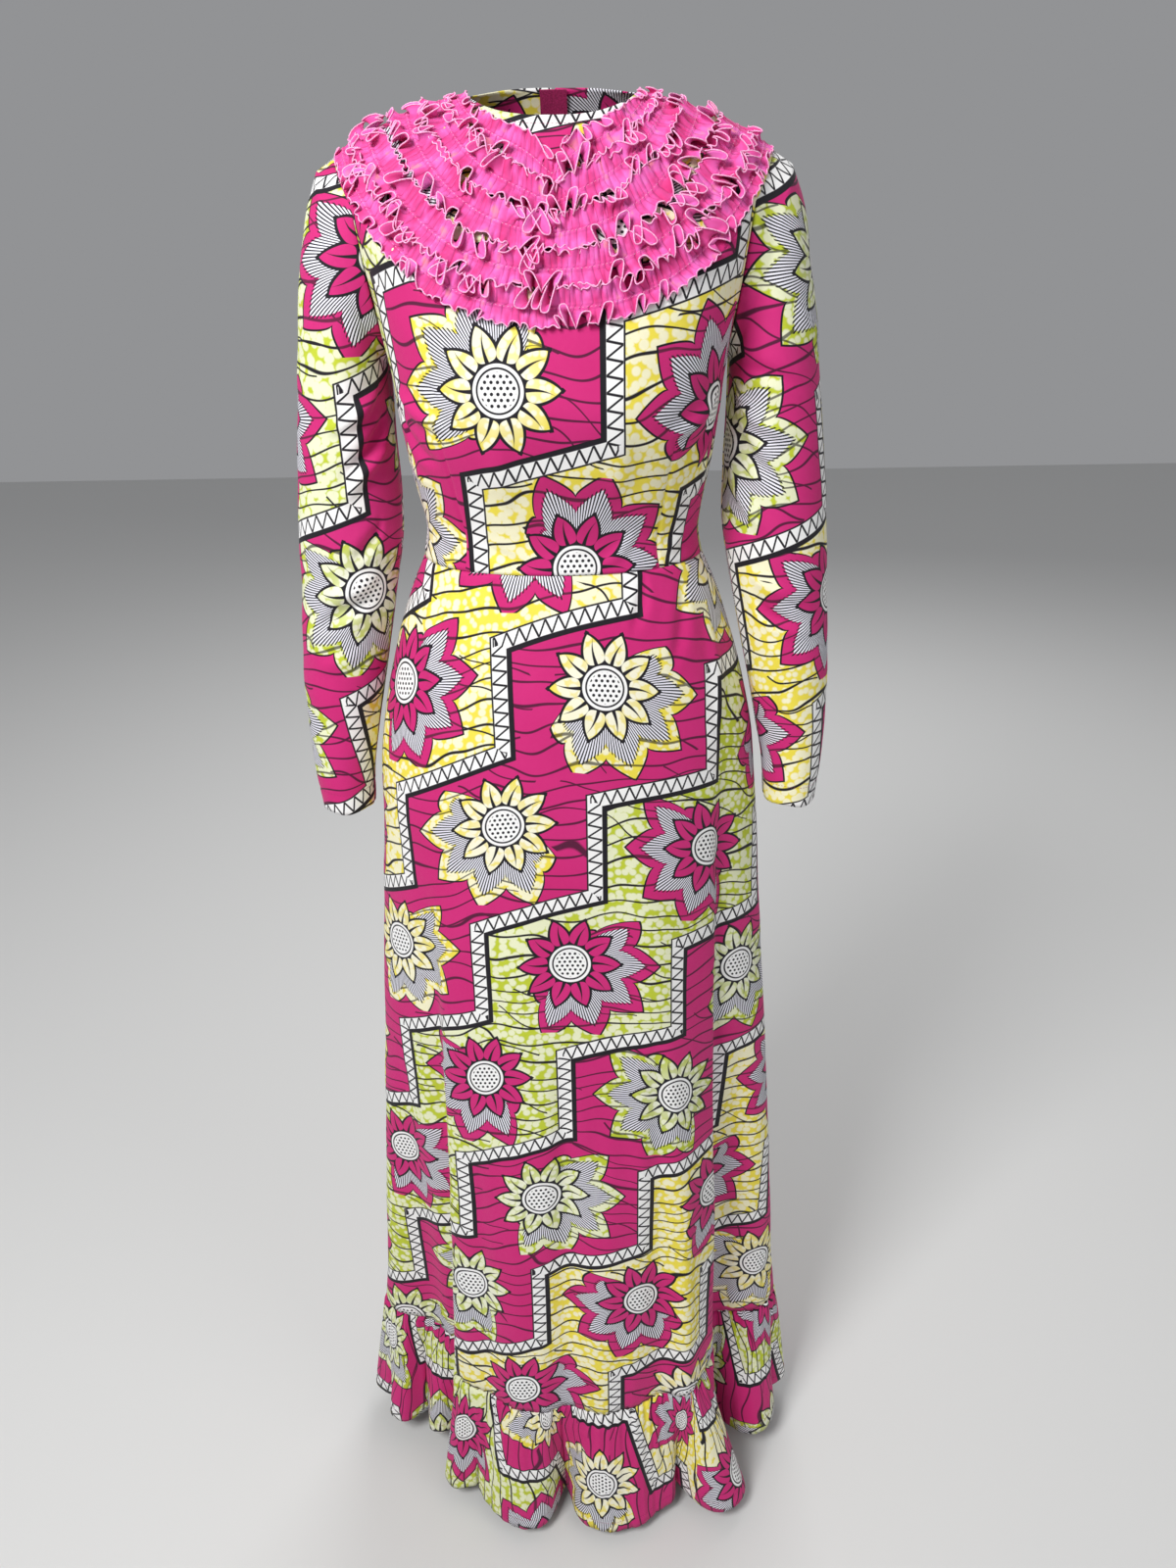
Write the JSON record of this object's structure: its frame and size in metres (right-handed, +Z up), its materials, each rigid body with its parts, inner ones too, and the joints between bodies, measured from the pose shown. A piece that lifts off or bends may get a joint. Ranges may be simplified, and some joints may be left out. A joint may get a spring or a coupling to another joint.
{
  "type": "maxi dress",
  "caption": "Long-sleeved printed maxi dress with a fitted bodice, a tiered ruffle bib, a long A-line skirt, a gathered hem flounce and a back zip, hollow as worn.",
  "frame": {"origin": "between the two neck points, where the wearer's shoulders carry the dress", "axes": "+Z up, the front of the dress faces -Y, the wearer's left side is +X"},
  "size_m": [0.5383, 0.4027, 1.4922],
  "materials": {
    "wax_print": "plain-woven printed cotton, soft sheen",
    "pink_ruffle": "thin crinkled pink cloth with a paler rolled edge",
    "zip_tape_cloth": "woven polyester tape",
    "zip_metal": "brushed brass"
  },
  "bodies": {
    "root": {"front_bodice": "wax_print", "back_bodice_left": "wax_print", "back_bodice_right": "wax_print", "front_skirt": "wax_print", "back_skirt_left": "wax_print", "back_skirt_right": "wax_print", "sleeve_left": "wax_print", "sleeve_right": "wax_print", "flounce_front": "wax_print", "flounce_back": "wax_print", "ruffle_1": "pink_ruffle", "ruffle_2": "pink_ruffle", "ruffle_3": "pink_ruffle", "ruffle_4": "pink_ruffle", "ruffle_5": "pink_ruffle", "zip_tape": "zip_tape_cloth", "zip_slider": "zip_metal"},
    "pull_tab": {"zip_pull_tab": "zip_metal"}
  },
  "joints": [
    {"name": "pull_tab_swing", "type": "hinge", "parent": "root", "child": "pull_tab", "pos_m": [0, 0.06063, -0.00051], "axis": [1, 0, 0], "range_deg": [0, 150]}
  ]
}
